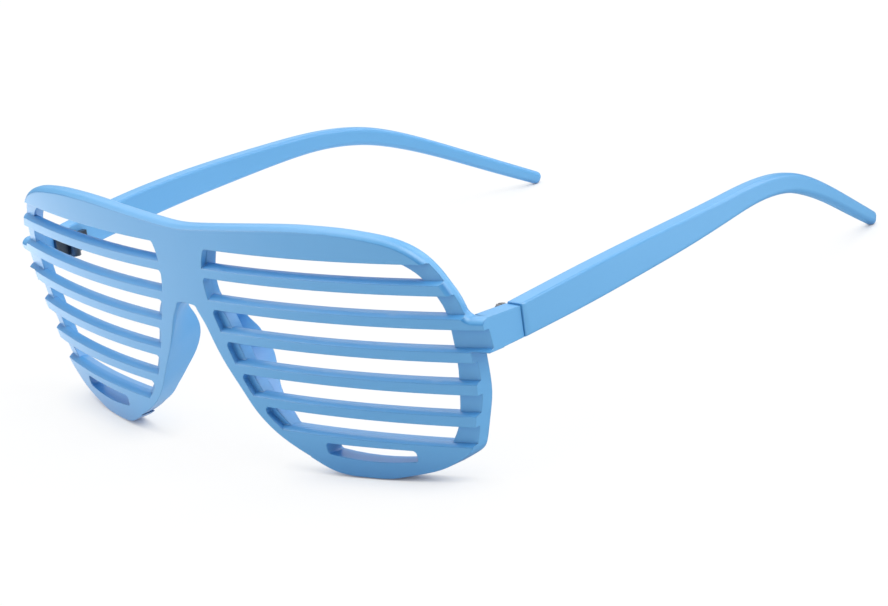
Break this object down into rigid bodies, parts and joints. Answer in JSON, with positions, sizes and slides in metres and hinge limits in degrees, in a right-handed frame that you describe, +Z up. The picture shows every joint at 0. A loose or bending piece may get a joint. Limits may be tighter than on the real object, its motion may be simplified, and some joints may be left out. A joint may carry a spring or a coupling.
{
  "type": "slatted novelty glasses",
  "caption": "Wraparound novelty glasses whose lenses are open horizontal slats in a one-piece moulded front, with two folding curved temples on screwed knuckle hinges",
  "frame": {"origin": "on the floor, in the symmetry plane, midway between the foremost point of the front and the rearmost points of the temple tips", "axes": "+X is the wearer's left, +Y goes back from the front to the ears, +Z is up; the front faces -Y"},
  "size_m": [0.147, 0.1512, 0.0511],
  "materials": {
    "blue_plastic": "satin moulded sky-blue plastic, smooth with a soft sheen",
    "hinge_metal": "stamped grey metal, dull",
    "screw_metal": "dark turned metal, slotted head"
  },
  "bodies": {
    "front": {"front_frame": "blue_plastic", "left_front_leaf": "hinge_metal", "right_front_leaf": "hinge_metal", "left_hinge_screw": "screw_metal", "right_hinge_screw": "screw_metal"},
    "left_side": {"left_temple": "blue_plastic", "left_temple_leaf": "hinge_metal"},
    "right_side": {"right_temple": "blue_plastic", "right_temple_leaf": "hinge_metal"}
  },
  "joints": [
    {"name": "left_fold", "type": "hinge", "parent": "front", "child": "left_side", "pos_m": [0.06695, -0.05371, 0.03049], "axis": [0, 0.0778, 0.997], "range_deg": [0, 84]},
    {"name": "right_fold", "type": "hinge", "parent": "front", "child": "right_side", "pos_m": [-0.06695, -0.05371, 0.03049], "axis": [0, -0.0778, -0.997], "range_deg": [0, 78]}
  ]
}
